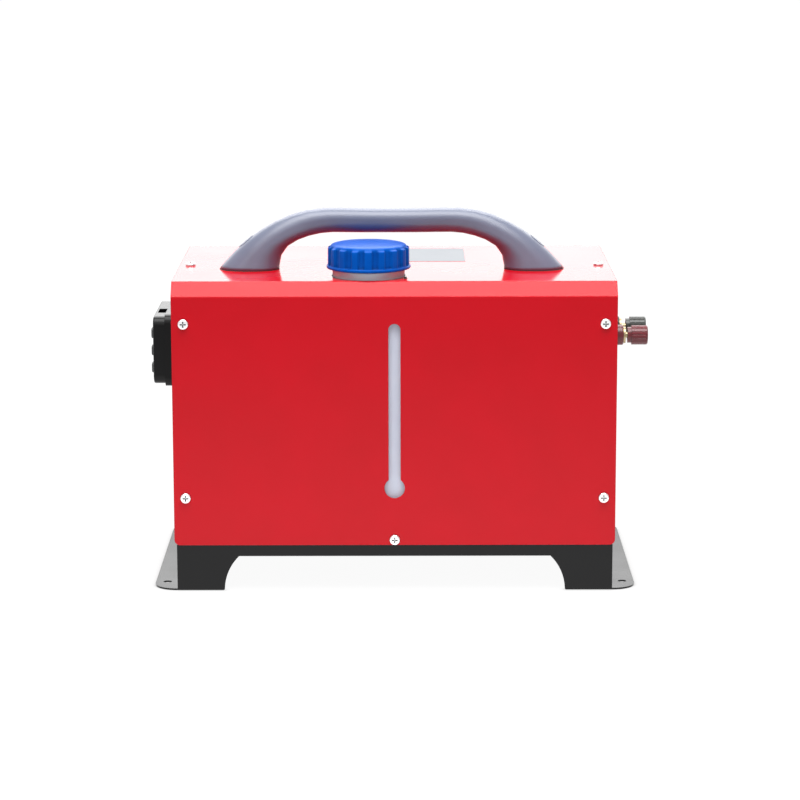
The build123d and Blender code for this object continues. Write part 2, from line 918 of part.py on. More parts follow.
def shifted(point, direction, distance):
    place = Vector(*point) + Vector(*direction) * distance
    return (place.X, place.Y, place.Z)


def fuel_hoses():
    direction = line_direction()
    along = (direction.X, direction.Y, direction.Z)
    elbow_tip = (elbow_x, fuel_y, elbow_z() + elbow_height)
    line_start = line_point(0)
    filter_tip = (line_start.X, line_start.Y, line_start.Z)
    supply = [
        shifted(elbow_tip, (0, 0, -1), hose_grip),
        (elbow_x, fuel_y, heater_top + 2),
        shifted(filter_tip, along, line_x - elbow_x),
        shifted(filter_tip, along, hose_grip),
    ]
    pump_tip = line_point(pump_end() + nipple_length)
    pump_tip = (pump_tip.X, pump_tip.Y, pump_tip.Z)
    pipe_tip = (inlet_pipe_x(), fuel_y, heater_z + inlet_pipe_height)
    delivery = [
        shifted(pump_tip, along, -hose_grip),
        shifted(pump_tip, along, 20),
        (pump_tip[0] - 31, pump_tip[1] - 6, pump_tip[2] - 26),
        (pump_tip[0] - 14, fuel_y, pump_tip[2] - 52),
        (pipe_tip[0], fuel_y, pipe_tip[2] + 30),
        shifted(pipe_tip, (0, 0, -1), hose_grip),
    ]
    link_start = filter_end() + nipple_length - hose_grip
    link_end = pump_start() - nipple_length + hose_grip
    link = on_line(hose_radius, link_start, link_end) - on_line(hose_bore, link_start - 1, link_end + 1)
    return Compound(children=[
        run_tube("supply hose", supply, hose_radius, hose_bore),
        link,
        run_tube("delivery hose", delivery, hose_radius, hose_bore),
    ])


def hose_clamps():
    ring = upright(clamp_radius, -clamp_width / 2, clamp_width / 2)
    ring = ring - upright(hose_radius, -clamp_width, clamp_width)
    seat = hose_grip / 2
    clamps = [
        Pos(elbow_x, fuel_y, elbow_z() + elbow_height - seat) * ring,
        Pos(inlet_pipe_x(), fuel_y, heater_z + inlet_pipe_height - seat) * ring,
    ]
    nipple_tips = (seat, filter_end() + nipple_length - seat, pump_start() - nipple_length + seat,
                   pump_end() + nipple_length - seat)
    for distance in nipple_tips:
        clamps.append(Plane(origin=line_point(distance), z_dir=line_direction()) * ring)
    return Compound(children=clamps)


# ---- heater unit ----

def heater_box(inset, x_from, x_to):
    half = heater_size / 2 - inset
    y_span = (heater_y - half, heater_y + half)
    z_span = (heater_z - half, heater_z + half)
    return rounded_block((x_from, x_to), y_span, z_span, Axis.X, heater_round - inset)


def heater_shell():
    shell = heater_box(0, heater_left, heater_right)
    inner_right = heater_right + 1
    shell = shell - heater_box(heater_wall, heater_left + heater_wall, inner_right)
    shell = shell - heater_disc(outlet_radius, heater_left - 1, heater_left + 2 * heater_wall)
    foot_x = (foot_left - foot_clearance, foot_right + foot_clearance)
    foot_y = (heater_y - foot_half_width - foot_clearance, heater_y + foot_half_width + foot_clearance)
    shell = shell - block(foot_x, foot_y, (heater_bottom - 1, heater_bottom + 2 * heater_wall))
    entry_x = heater_left + cable_entry_offset
    through_top = (heater_top - 2 * heater_wall, heater_top + 1)
    shell = shell - upright(cable_hole_radius, *through_top, entry_x, heater_y)
    pipe_hole = nipple_radius + screw_hole_clearance
    through_front = (heater_front - 1, heater_front + 2 * heater_wall)
    return shell - fore_aft(pipe_hole, *through_front, inlet_pipe_x(), heater_z)


def shell_half(z_span):
    margin = 5.0
    x_span = (heater_left - margin, heater_right + margin)
    y_span = (heater_front - margin, heater_front + heater_size + margin)
    return heater_shell() & block(x_span, y_span, z_span)


def shell_lower():
    return shell_half((heater_bottom - 1, heater_z))


def shell_upper():
    return shell_half((heater_z, heater_top + 1))


def intake_grille():
    x_span = (heater_right - grille_thickness, heater_right)
    grille = heater_box(heater_wall, *x_span)
    opening = grille & heater_box(heater_wall + grille_border, x_span[0] - 1, x_span[1] + 1)
    grille = grille - opening
    inner = heater_size - 2 * (heater_wall + grille_border)
    step = inner / (grille_bars + 1)
    for number in range(grille_bars):
        z = heater_z - inner / 2 + step * (number + 1)
        bar = block(x_span, (heater_y - inner / 2, heater_y + inner / 2),
                    (z - grille_bar_width / 2, z + grille_bar_width / 2))
        grille = grille + (bar & opening)
    return grille


def outlet_nozzle():
    end = -(half_width + outlet_proud)
    flange = (heater_left - outlet_flange_thickness, heater_left)
    nozzle = heater_disc(outlet_radius, end, heater_left + heater_wall)
    nozzle = nozzle + heater_disc(outlet_flange_radius, *flange)
    return nozzle - heater_disc(outlet_radius - outlet_wall, end - 1, heater_left + heater_wall + 1)


def stub_places():
    exhaust = (foot_left + exhaust_stub_offset, exhaust_stub_radius)
    air = (foot_left + air_stub_offset, air_stub_radius)
    return (exhaust, air)


def heater_bolt_places():
    xs = (foot_left + heater_bolt_inset, foot_right - heater_bolt_inset)
    ys = (heater_y - foot_half_width + heater_bolt_inset, heater_y + foot_half_width - heater_bolt_inset)
    return [(x, y) for x in xs for y in ys]


def heat_exchanger():
    core = heater_disc(exchanger_core_radius, exchanger_left, exchanger_right)
    reach = (exchanger_core_radius - 2, exchanger_fin_radius)
    fin_y = (-exchanger_fin_thickness / 2, exchanger_fin_thickness / 2)
    fin = block((exchanger_left, exchanger_right), fin_y, reach)
    centre = Pos(0, heater_y, heater_z)
    for number in range(exchanger_fins):
        core = core + centre * Rot(360 * number / exchanger_fins, 0, 0) * fin
    y_span = (heater_y - foot_half_width, heater_y + foot_half_width)
    core = core + block((foot_left, foot_right), y_span, (heater_bottom, heater_z))
    core = core - heater_disc(exchanger_bore_radius, exchanger_left + exchanger_end_wall, exchanger_right + 1)
    for x, radius in stub_places():
        bore = radius + stub_shoulder
        core = core - upright(bore, heater_bottom - 1, heater_bottom + stub_depth, x, heater_y)
    for x, y in heater_bolt_places():
        core = core - upright(heater_bolt_radius, heater_bottom - 1, heater_bottom + heater_bolt_depth, x, y)
    return core


def mounting_gasket():
    x_span = (foot_left - gasket_overhang, foot_right + gasket_overhang)
    y_span = (heater_y - gasket_half_width, heater_y + gasket_half_width)
    gasket = rounded_block(x_span, y_span, (base_height, heater_bottom), Axis.Z, gasket_overhang)
    for x, radius in stub_places():
        gasket = gasket - upright(radius + stub_shoulder, base_height - 1, heater_bottom + 1, x, heater_y)
    for x, y in heater_bolt_places():
        gasket = gasket - upright(heater_bolt_radius, base_height - 1, heater_bottom + 1, x, y)
    return gasket


def pipe_stubs():
    # Each tube is thicker from the base plate up, which ends the length that a pipe can slide over
    underside = base_height - base_sheet
    bottom = underside - stub_reach
    top = heater_bottom + stub_depth
    stubs = []
    for x, radius in stub_places():
        tube = upright(radius, bottom, underside, x, heater_y)
        tube = tube + upright(radius + stub_shoulder, underside, top, x, heater_y)
        stubs.append(tube - upright(radius - stub_wall, bottom - 1, top + 1, x, heater_y))
    return Compound(children=stubs)


def heater_bolts():
    underside = base_height - base_sheet
    head = hexagon(2 * heater_bolt_head_radius, heater_bolt_head_height)
    bolts = []
    for x, y in heater_bolt_places():
        shank = upright(heater_bolt_radius, underside, heater_bottom + heater_bolt_depth - 2, x, y)
        bolts.append(Pos(x, y, underside - heater_bolt_head_height) * head + shank)
    return Compound(children=bolts)


def burner_chamber():
    start = exchanger_right - burner_inside
    tube = heater_disc(burner_radius, start, burner_head_left)
    tube = tube + heater_disc(burner_lip_radius, exchanger_right, burner_head_left)
    return tube - heater_disc(burner_radius - burner_wall, start - 1, burner_head_left + 1)


def burner_head():
    head = heater_disc(burner_head_radius, burner_head_left, burner_head_right)
    head = head - heater_disc(burner_head_bore, burner_head_left - 1, burner_head_right + 1)
    middle_x = (burner_head_left + burner_head_right) / 2
    bore = glow_plug_radius + glow_plug_clearance
    head = head - upright(bore, heater_z, heater_z + burner_head_radius + 1, middle_x, heater_y)
    pipe_end = heater_y - burner_head_radius
    return head - fore_aft(nipple_bore, pipe_end - 1, heater_y, inlet_pipe_x(), heater_z)


def glow_plug():
    middle_x = (burner_head_left + burner_head_right) / 2
    bottom = heater_z + burner_head_bore - glow_plug_radius
    plug = upright(glow_plug_radius, bottom, bottom + glow_plug_length, middle_x, heater_y)
    return fillet(plug.edges(), glow_plug_radius / 5)


def overheat_sensor():
    x = exchanger_left + sensor_offset
    top = heater_z + exchanger_fin_radius
    sensor = upright(sensor_radius, top, top + sensor_height, x, heater_y)
    return fillet(sensor.edges().sort_by(Axis.Z)[-1], sensor_height / 5)


def blower_housing():
    housing = heater_disc(blower_radius, burner_head_right, blower_right)
    housing = housing - heater_disc(blower_bore, burner_head_right + blower_wall, blower_right + 1)
    return housing - heater_disc(burner_head_bore, burner_head_right - 1, blower_right)


def combustion_fan():
    plate = heater_disc(impeller_radius, impeller_right - 2, impeller_right)
    centre = Pos(0, heater_y, heater_z)
    blade = block((impeller_left, impeller_right), (-0.6, 0.6), (impeller_radius / 2, impeller_radius - 1))
    for number in range(impeller_blades):
        plate = plate + centre * Rot(360 * number / impeller_blades, 0, 0) * blade
    plate = plate + heater_disc(2.5 * shaft_radius, impeller_left, impeller_right)
    return plate - heater_disc(shaft_radius, impeller_left - 1, impeller_right + 1)


def motor_case():
    case = heater_disc(motor_radius, blower_right, motor_right)
    case = case + heater_disc(motor_lip_radius, blower_right, blower_right + motor_lip_thickness)
    case = case - heater_disc(motor_radius - motor_wall, blower_right + motor_wall, motor_right - motor_wall)
    for x in bearing_places():
        case = case + heater_disc(bearing_radius + motor_wall, x, x + bearing_width)
        case = case - heater_disc(bearing_radius, x, x + bearing_width)
    return case - heater_disc(shaft_radius + shaft_hole_clearance, blower_right - 1, motor_right + 1)


def bearing_places():
    return (blower_right + motor_wall, motor_right - motor_wall - bearing_width)


def shaft_bearings():
    rings = []
    for x in bearing_places():
        ring = heater_disc(bearing_radius, x, x + bearing_width)
        rings.append(ring - heater_disc(shaft_radius + shaft_bore_clearance, x - 1, x + bearing_width + 1))
    return Compound(children=rings)


def motor_shaft():
    return heater_disc(shaft_radius, impeller_left - 1, fan_right + shaft_past_fan)


def circulation_fan():
    hub = heater_disc(fan_hub_radius, fan_left, fan_right)
    hub = fillet(hub.edges().sort_by(Axis.X)[-1], fan_hub_radius / 4)
    middle_x = (fan_left + fan_right) / 2
    blade_root = fan_hub_radius - 2
    blade = Pos(0, 0, (blade_root + fan_radius) / 2) * Rot(0, 0, fan_blade_pitch) * Box(
        fan_length, fan_blade_thickness, fan_radius - blade_root)
    centre = Pos(middle_x, heater_y, heater_z)
    for number in range(fan_blades):
        hub = hub + centre * Rot(360 * number / fan_blades, 0, 0) * blade
    return hub - heater_disc(shaft_radius, fan_left - fan_length, fan_right + fan_length)


def control_unit():
    x_from = blower_right + motor_lip_thickness
    y_span = (heater_y - control_unit_width / 2, heater_y + control_unit_width / 2)
    z_span = (heater_z + control_unit_bottom, heater_z + control_unit_top)
    unit = block((x_from, x_from + control_unit_length), y_span, z_span)
    return unit - heater_disc(motor_radius, x_from - 1, x_from + control_unit_length + 1)


def guard_ring(outer, inner, x_from, x_to):
    return heater_disc(outer, x_from, x_to) - heater_disc(inner, x_from - 1, x_to + 1)


def intake_guard():
    hole = guard_hole_radius - guard_clearance
    rim = guard_radius - guard_hole_radius
    proud = (half_width, half_width + guard_proud)
    guard = guard_ring(guard_radius, hole - rim, *proud)
    guard = guard + guard_ring(hole, hole - guard_bar_width, panel_inner, half_width)
    step = (hole - rim) / guard_rings
    for number in range(1, guard_rings):
        radius = step * number
        guard = guard + guard_ring(radius + guard_bar_width, radius, *proud)
    bar = block(proud, (-guard_bar_width / 2, guard_bar_width / 2), (0, hole - 1))
    centre = Pos(0, heater_y, heater_z)
    for number in range(guard_spokes):
        guard = guard + centre * Rot(360 * number / guard_spokes, 0, 0) * bar
    return guard


# ---- binding posts ----

def post_disc(radius, x_from, x_to):
    return crosswise(radius, x_from, x_to, 0, 0)


def post_base():
    base = post_disc(post_base_radius, half_width, post_base_outer)
    base = fillet(base.edges().sort_by(Axis.X)[-1], post_base_thickness / 5)
    base = base + post_disc(post_shoulder_radius, panel_inner, half_width)
    washer_inner = panel_inner - post_washer_thickness
    washer = post_disc(post_washer_radius, washer_inner, panel_inner)
    bore = post_disc(post_stud_radius + post_fit, washer_inner - 1, post_base_outer + 1)
    return Compound(children=[base - bore, washer - bore])


def post_stud():
    stud = post_disc(post_stud_radius, panel_inner - post_stud_in, half_width + post_stud_out)
    return stud + post_disc(post_collar_radius, post_base_outer, collar_outer)


def post_knob():
    knob = post_disc(knob_radius, knob_shoulder, knob_end)
    knob = fillet(knob.edges().sort_by(Axis.X)[-1], knob_end_round)
    groove_reach = knob_radius - knob_groove_depth + knob_groove_width / 2
    groove = crosswise(knob_groove_width / 2, knob_shoulder - 1, knob_end - knob_end_round, 0, groove_reach)
    for number in range(knob_grooves):
        knob = knob - Rot(360 * number / knob_grooves, 0, 0) * groove
    knob = knob + post_disc(knob_neck_radius, knob_start, knob_shoulder)
    bore_end = half_width + post_stud_out + stud_bore_extra
    knob = knob - post_disc(post_stud_radius + post_fit, knob_start - 1, bore_end)
    insert_start = knob_start + insert_recess
    return knob - post_disc(insert_radius + insert_clearance, knob_start - 1, insert_start + insert_length)


def knob_insert():
    start = knob_start + insert_recess
    sleeve = post_disc(insert_radius, start, start + insert_length)
    return sleeve - post_disc(post_stud_radius + insert_clearance, start - 1, start + insert_length + 1)


def post_terminals():
    # A nut and a ring lug on the inner end of each stud
    washer_inner = panel_inner - post_washer_thickness
    lug_inner = washer_inner - lug_thickness
    bore = post_disc(post_stud_radius, lug_inner - nut_height - 1, washer_inner + 1)
    lug = post_disc(lug_radius, lug_inner, washer_inner)
    tail_z = (-post_washer_radius - lug_tail, 0)
    tail = block((lug_inner, washer_inner), (-cable_radius, cable_radius), tail_z)
    nut = Pos(lug_inner - nut_height, 0, 0) * Rot(0, 90, 0) * hexagon(nut_across_corners, nut_height)
    pieces = []
    for y in (post_y, post_y + post_spacing):
        place = Pos(0, y, post_z)
        pieces.append(place * (lug + tail - bore))
        pieces.append(place * (nut - bore))
    return Compound(children=pieces)


def at_red_post(shape):
    return Pos(0, post_y, post_z) * shape


def at_black_post(shape, out=0):
    return Pos(out, post_y + post_spacing, post_z) * shape


# ---- controller ----

def controller_cable_y():
    return controller_y_far - controller_corner


def window_span():
    far = controller_y_far - window_from_far
    return (far - window_width, far)


def window_height_span():
    return (controller_z - window_height / 2, controller_z + window_height / 2)


def board_x_span():
    back = controller_joint_x - board_peg_height
    return (back - board_thickness, back)


def controller_base():
    y_span = (controller_y_near - controller_back_margin, controller_y_far + controller_back_margin)
    z_span = (controller_bottom - controller_back_margin, controller_top + controller_back_margin)
    base = rounded_block((controller_joint_x, -half_width), y_span, z_span, Axis.X, controller_corner)
    for y in (controller_y_near + controller_corner, controller_y_far - controller_corner):
        for z in (controller_bottom + controller_corner, controller_top - controller_corner):
            base = base + crosswise(board_peg_radius, board_x_span()[1], controller_joint_x, y, z)
    hole = cable_radius + screw_hole_clearance
    return base - crosswise(hole, controller_joint_x - 1, -half_width + 1, controller_cable_y(), controller_z)


def button_outline(extra, x_from, x_to):
    # A rounded oblong, longer along Y than it is high
    width = button_width + 2 * extra
    height = button_height + 2 * extra
    plane = Plane(origin=(x_from, 0, 0), x_dir=(0, 1, 0), z_dir=(1, 0, 0))
    return extrude(plane * RectangleRounded(width, height, height / 3), x_to - x_from)


def button_places():
    y = controller_y_near + button_from_near
    middle_z = controller_z - button_drop
    return [Pos(0, y, middle_z + step * button_pitch) for step in (-1, 0, 1)]


def controller_case():
    y_span = (controller_y_near, controller_y_far)
    z_span = (controller_bottom, controller_top)
    x_span = (controller_face_x, controller_joint_x)
    case = rounded_block(x_span, y_span, z_span, Axis.X, controller_corner)
    case = fillet(case.faces().sort_by(Axis.X)[0].edges(), controller_edge_round)
    wall = controller_wall
    inner_y = (y_span[0] + wall, y_span[1] - wall)
    inner_z = (z_span[0] + wall, z_span[1] - wall)
    inner_x = (controller_face_x + wall, controller_joint_x + 1)
    case = case - rounded_block(inner_x, inner_y, inner_z, Axis.X, controller_corner - wall)
    through = (controller_face_x - 1, controller_face_x + 2 * wall)
    case = case - block(through, window_span(), window_height_span())
    for place in button_places():
        case = case - place * button_outline(button_clearance, *through)
    latch_y = (controller_y_near + latch_from_near, controller_y_near + latch_from_near + latch_length)
    latch_x = (controller_joint_x - latch_width, controller_joint_x)
    pocket = block(latch_x, latch_y, (controller_top - 2 * wall, controller_top + 1))
    tab_top = controller_top - latch_drop
    tab = block(latch_x, latch_y, (tab_top - latch_tab, tab_top))
    web = block(latch_x, (latch_y[1], latch_y[1] + latch_tab), (tab_top - latch_tab, controller_top - wall))
    return case - pocket + tab + web


def display_lens():
    y_span = window_span()
    z_span = window_height_span()
    gap = lens_clearance
    x_span = (controller_face_x, controller_face_x + lens_thickness)
    return block(x_span, (y_span[0] + gap, y_span[1] - gap), (z_span[0] + gap, z_span[1] - gap))


def display_board():
    x_span = board_x_span()
    inset = controller_wall + board_margin
    y_span = (controller_y_near + inset, controller_y_far - inset)
    z_span = (controller_bottom + inset, controller_top - inset)
    board = block(x_span, y_span, z_span)
    window = window_span()
    tall = window_height_span()
    screen_front = controller_face_x + lens_thickness
    screen = block((screen_front, x_span[0]), (window[0] + screen_margin, window[1] - screen_margin),
                   (tall[0] + screen_margin, tall[1] - screen_margin))
    return Compound(children=[board, screen])


def controller_button():
    face = controller_face_x - button_proud
    inner_face = controller_face_x + controller_wall
    cap = button_outline(0, face, inner_face + button_lip_gap)
    cap = fillet(cap.faces().sort_by(Axis.X)[0].edges(), button_proud / 2)
    lip_start = inner_face + button_lip_gap
    cap = cap + button_outline(button_lip, lip_start, lip_start + button_lip_thickness)
    stem_end = board_x_span()[0] - button_travel - button_spare
    return cap + button_outline(-button_lip, lip_start, stem_end)


# ---- cables ----

def cable_entry(column, row):
    x = heater_left + cable_entry_offset + column * cable_spacing
    return (x, heater_y + row * cable_spacing)


def cable_from_top(column, row, height):
    # The last two points of a cable that goes down through the shell onto the control unit
    x, y = cable_entry(column, row)
    return [(x, y, height), (x, y, heater_z + control_unit_top)]


def supply_cables():
    # Each cable starts at its ring lug and goes back past the heat shield to the top of the heater
    lug_x = panel_inner - post_washer_thickness - lug_thickness / 2
    start_z = post_z - post_washer_radius - lug_tail
    black_y = post_y + post_spacing
    red_route = [
        (lug_x, post_y, start_z),
        (lug_x, post_y, start_z - 20),
        (lug_x - 2, shield_back, heater_top + 6),
        (heater_right - 18, heater_front + 30, heater_top + 12),
    ]
    black_route = [
        (lug_x, black_y, start_z),
        (lug_x, black_y, start_z - 8),
        (lug_x - 6, shield_back + 20, heater_top + 22),
        (heater_right - 30, heater_y - 4, heater_top + 26),
    ]
    red_route += cable_from_top(1, -1, heater_top + 16)
    black_route += cable_from_top(1, 1, heater_top + 26)
    return Compound(children=[
        run_tube("red cable", red_route, cable_radius),
        run_tube("black cable", black_route, cable_radius),
    ])


def control_cables():
    lie_z = heater_top + cable_radius + cable_rest_gap
    from_panel = [
        (controller_joint_x, controller_cable_y(), controller_z),
        (24 - panel_inner, controller_cable_y(), controller_z),
        (heater_left + 36, heater_y - 34, lie_z),
    ]
    from_panel += cable_from_top(-1, 1, lie_z)
    plug = line_point(pump_start() + pump_end_length + 6)
    from_pump = [
        (plug.X, plug.Y + pump_radius, plug.Z),
        (plug.X, plug.Y + 32, plug.Z),
    ]
    from_pump += cable_from_top(-1, -1, heater_top + 18)
    return Compound(children=[
        run_tube("controller cable", from_panel, cable_radius),
        run_tube("pump cable", from_pump, thin_cable_radius),
    ])


# ---- output ----

def pieces():
    low_button, middle_button, high_button = [place * controller_button() for place in button_places()]
    return {
        "base_tray": base_tray(),
        "wrap_cover": wrap_cover(),
        "left_end_panel": left_end_panel(),
        "right_end_panel": right_end_panel(),
        "case_screws": case_screws(),
        "handle": handle_body(),
        "handle_screws": handle_screws(),
        "handle_screw_caps": handle_screw_caps(),
        "handle_nuts": handle_nuts(),
        "fuel_tank": fuel_tank(),
        "tank_neck": tank_neck(),
        "tank_pad": tank_pad(),
        "fuel_cap": fuel_cap(),
        "cap_liner": cap_liner(),
        "heat_shield": heat_shield(),
        "tank_outlet": tank_outlet(),
        "fuel_hoses": fuel_hoses(),
        "hose_clamps": hose_clamps(),
        "fuel_filter": fuel_filter(),
        "pump_body": pump_body(),
        "pump_plunger": pump_plunger(),
        "pump_mount": pump_mount(),
        "fuel_inlet_pipe": fuel_inlet_pipe(),
        "mounting_gasket": mounting_gasket(),
        "heater_bolts": heater_bolts(),
        "pipe_stubs": pipe_stubs(),
        "shell_lower": shell_lower(),
        "shell_upper": shell_upper(),
        "intake_grille": intake_grille(),
        "outlet_nozzle": outlet_nozzle(),
        "heat_exchanger": heat_exchanger(),
        "burner_chamber": burner_chamber(),
        "burner_head": burner_head(),
        "glow_plug": glow_plug(),
        "overheat_sensor": overheat_sensor(),
        "blower_housing": blower_housing(),
        "combustion_fan": combustion_fan(),
        "motor_case": motor_case(),
        "shaft_bearings": shaft_bearings(),
        "motor_shaft": motor_shaft(),
        "circulation_fan": circulation_fan(),
        "control_unit": control_unit(),
        "intake_guard": intake_guard(),
        "red_post_base": at_red_post(post_base()),
        "black_post_base": at_black_post(post_base()),
        "post_studs": Compound(children=[at_red_post(post_stud()), at_black_post(post_stud())]),
        "post_terminals": post_terminals(),
        "red_knob": at_red_post(post_knob()),
        "black_knob": at_black_post(post_knob(), black_knob_turned_out),
        "red_knob_insert": at_red_post(knob_insert()),
        "black_knob_insert": at_black_post(knob_insert(), black_knob_turned_out),
        "controller_base": controller_base(),
        "controller_case": controller_case(),
        "display_lens": display_lens(),
        "display_board": display_board(),
        "button_low": low_button,
        "button_middle": middle_button,
        "button_high": high_button,
        "supply_cables": supply_cables(),
        "control_cables": control_cables(),
    }


os.makedirs("parts", exist_ok=True)
for name, shape in pieces().items():
    export_step(shape, os.path.join("parts", name + ".step"))
print("pieces written")
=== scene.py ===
import json
import math
import bmesh
import bpy
from mathutils import Matrix, Vector


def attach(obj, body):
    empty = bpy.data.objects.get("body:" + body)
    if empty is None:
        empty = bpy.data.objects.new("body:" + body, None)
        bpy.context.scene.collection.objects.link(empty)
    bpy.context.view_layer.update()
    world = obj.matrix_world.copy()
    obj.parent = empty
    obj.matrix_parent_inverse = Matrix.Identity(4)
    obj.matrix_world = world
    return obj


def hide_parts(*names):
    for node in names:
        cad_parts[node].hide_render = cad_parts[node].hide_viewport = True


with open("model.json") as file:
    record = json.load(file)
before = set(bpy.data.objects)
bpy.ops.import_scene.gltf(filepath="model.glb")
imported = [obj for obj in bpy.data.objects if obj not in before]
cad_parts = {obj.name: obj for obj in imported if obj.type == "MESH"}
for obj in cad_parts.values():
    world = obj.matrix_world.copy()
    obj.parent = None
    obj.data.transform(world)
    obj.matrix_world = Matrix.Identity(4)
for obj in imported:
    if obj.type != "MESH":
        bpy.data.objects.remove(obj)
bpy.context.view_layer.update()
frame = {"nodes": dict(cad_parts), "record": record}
mm = 0.001
print("frame loaded")

closeSamples = 8  # rays that look for a near surface
edgeSamples = 6  # rays that round an edge
noiseSpan = (0.3, 0.7)  # where most of a noise pattern's values lie


def linear(hexColour):
    # sRGB hex to the linear colour that a socket takes
    channels = [int(hexColour[i:i + 2], 16) / 255 for i in (1, 3, 5)]
    return [c / 12.92 if c <= 0.04045 else ((c + 0.055) / 1.055) ** 2.4 for c in channels] + [1]


def addNode(material, kind, settings=None, links=None):
    # settings go to a socket of that name or number, or else to the node itself
    tree = material.node_tree
    node = tree.nodes.new(kind)
    for name, value in (settings or {}).items():
        if isinstance(name, int) or name in node.inputs:
            node.inputs[name].default_value = value
        else:
            setattr(node, name, value)
    for name, source in (links or {}).items():
        tree.links.new(source, node.inputs[name])
    return node


def newFinish(name, settings):
    # A material with one Principled shader, on Object coordinates
    material = bpy.data.materials.new(name)
    material.use_nodes = True
    material.node_tree.nodes.clear()
    shader = addNode(material, "ShaderNodeBsdfPrincipled", settings)
    addNode(material, "ShaderNodeOutputMaterial", links={"Surface": shader.outputs[0]})
    place = addNode(material, "ShaderNodeTexCoord").outputs["Object"]
    return {"material": material, "shader": shader, "place": place}


def drift(finish, colours, patchMm):
    # Slow change between two colours, over patches of the given size
    material = finish["material"]
    noise = addNode(material, "ShaderNodeTexNoise", {"Scale": 1 / (patchMm * mm), "Detail": 3},
                    {"Vector": finish["place"]})
    ramp = addNode(material, "ShaderNodeValToRGB", links={"Fac": noise.outputs["Fac"]})
    for element, position, colour in zip(ramp.color_ramp.elements, noiseSpan, colours):
        element.position = position
        element.color = linear(colour)
    material.node_tree.links.new(ramp.outputs["Color"], finish["shader"].inputs["Base Color"])
    return noise


def roughRange(finish, noise, low, high):
    # Roughness runs from low to high with a noise pattern
    material = finish["material"]
    spread = addNode(material, "ShaderNodeMapRange", {
        "From Min": noiseSpan[0], "From Max": noiseSpan[1], "To Min": low, "To Max": high},
        {"Value": noise.outputs["Fac"]})
    material.node_tree.links.new(spread.outputs["Result"], finish["shader"].inputs["Roughness"])


def grain(finish, sizeMm, depthMm, stretch=None, edgeMm=0):
    # Fine relief, with bumps of the given size and depth, over edges that the coat has rounded
    material, place = finish["material"], finish["place"]
    if stretch:
        place = addNode(material, "ShaderNodeMapping", {"Scale": stretch}, {"Vector": place}).outputs["Vector"]
    noise = addNode(material, "ShaderNodeTexNoise", {"Scale": 1 / (sizeMm * mm), "Detail": 2}, {"Vector": place})
    bump = addNode(material, "ShaderNodeBump", {"Distance": depthMm * mm, "Strength": 1.0},
                   {"Height": noise.outputs["Fac"]})
    if edgeMm:
        edge = addNode(material, "ShaderNodeBevel", {"samples": edgeSamples, "Radius": edgeMm * mm})
        material.node_tree.links.new(edge.outputs["Normal"], bump.inputs["Normal"])
    material.node_tree.links.new(bump.outputs["Normal"], finish["shader"].inputs["Normal"])
    return noise


def recessShade(finish, recessMm, shadedBelow, unshadedAbove, shadeColour):
    # Painted shade: where other surfaces close in, the base colour darkens towards a shade colour
    material, shader = finish["material"], finish["shader"]
    plain = shader.inputs["Base Color"].links[0].from_socket
    openness = addNode(material, "ShaderNodeAmbientOcclusion", {
        "samples": closeSamples, "Distance": recessMm * mm})
    openShare = addNode(material, "ShaderNodeMapRange", {"From Min": shadedBelow, "From Max": unshadedAbove},
                    {"Value": openness.outputs["AO"]})
    mixed = addNode(material, "ShaderNodeMix", {"data_type": "RGBA", 6: linear(shadeColour)},
                    {0: openShare.outputs["Result"], 7: plain})
    material.node_tree.links.new(mixed.outputs[2], shader.inputs["Base Color"])


def redPowderCoat():
    # Gloss powder coat, sprayed and baked: deep red with a soft orange peel in what it mirrors
    finish = newFinish("redPowderCoat", {"IOR": 1.3})
    noise = drift(finish, ("#D00017", "#D6001A"), patchMm=60)
    roughRange(finish, noise, low=0.1, high=0.13)
    grain(finish, sizeMm=2.2, depthMm=0.004, edgeMm=0.9)
    # painted shade: the red darkens in seams and round the screw heads
    recessShade(finish, recessMm=1.5, shadedBelow=0.3, unshadedAbove=0.8, shadeColour="#6E0009")
    return finish["material"]


def blackPowderCoat():
    # Satin powder coat on folded steel: soft wide highlights and a fine peel
    finish = newFinish("blackPowderCoat", {"IOR": 1.3})
    noise = drift(finish, ("#0C0C0D", "#101011"), patchMm=40)
    roughRange(finish, noise, low=0.14, high=0.2)
    grain(finish, sizeMm=1.6, depthMm=0.005, edgeMm=0.5)
    return finish["material"]


def zincPlate():
    # Steel with a bright zinc plating: pale, a little uneven, with a faint blue cast, with painted shade in its
    # recesses
    finish = newFinish("zincPlate", {"Metallic": 1.0})
    noise = drift(finish, ("#EBEDEF", "#FAFAFA"), patchMm=3)
    roughRange(finish, noise, low=0.22, high=0.34)
    grain(finish, sizeMm=0.4, depthMm=0.004)
    # painted shade: the zinc turns near black down in recesses such as the screws' cross
    recessShade(finish, recessMm=2.4, shadedBelow=0.45, unshadedAbove=0.72, shadeColour="#15130F")
    return finish["material"]


def greyHandlePlastic():
    # Injection-moulded polypropylene, spark-eroded mould: blue-grey, half dull, with a fine pebble
    finish = newFinish("greyHandlePlastic", {"Roughness": 0.32, "IOR": 1.6})
    drift(finish, ("#646A7F", "#6A7085"), patchMm=25)
    grain(finish, sizeMm=0.9, depthMm=0.006)
    return finish["material"]


def naturalPolyethylene():
    # Blow-moulded polyethylene without pigment: milky, waxy, light goes a little way in
    finish = newFinish("naturalPolyethylene", {
        "Roughness": 0.4, "IOR": 1.51, "Subsurface Weight": 0.4,
        "Subsurface Radius": (4 * mm, 4 * mm, 4 * mm), "Subsurface Scale": 1.0})
    drift(finish, ("#D8E0F6", "#E0E8FC"), patchMm=35)
    grain(finish, sizeMm=5, depthMm=0.05)
    return finish["material"]


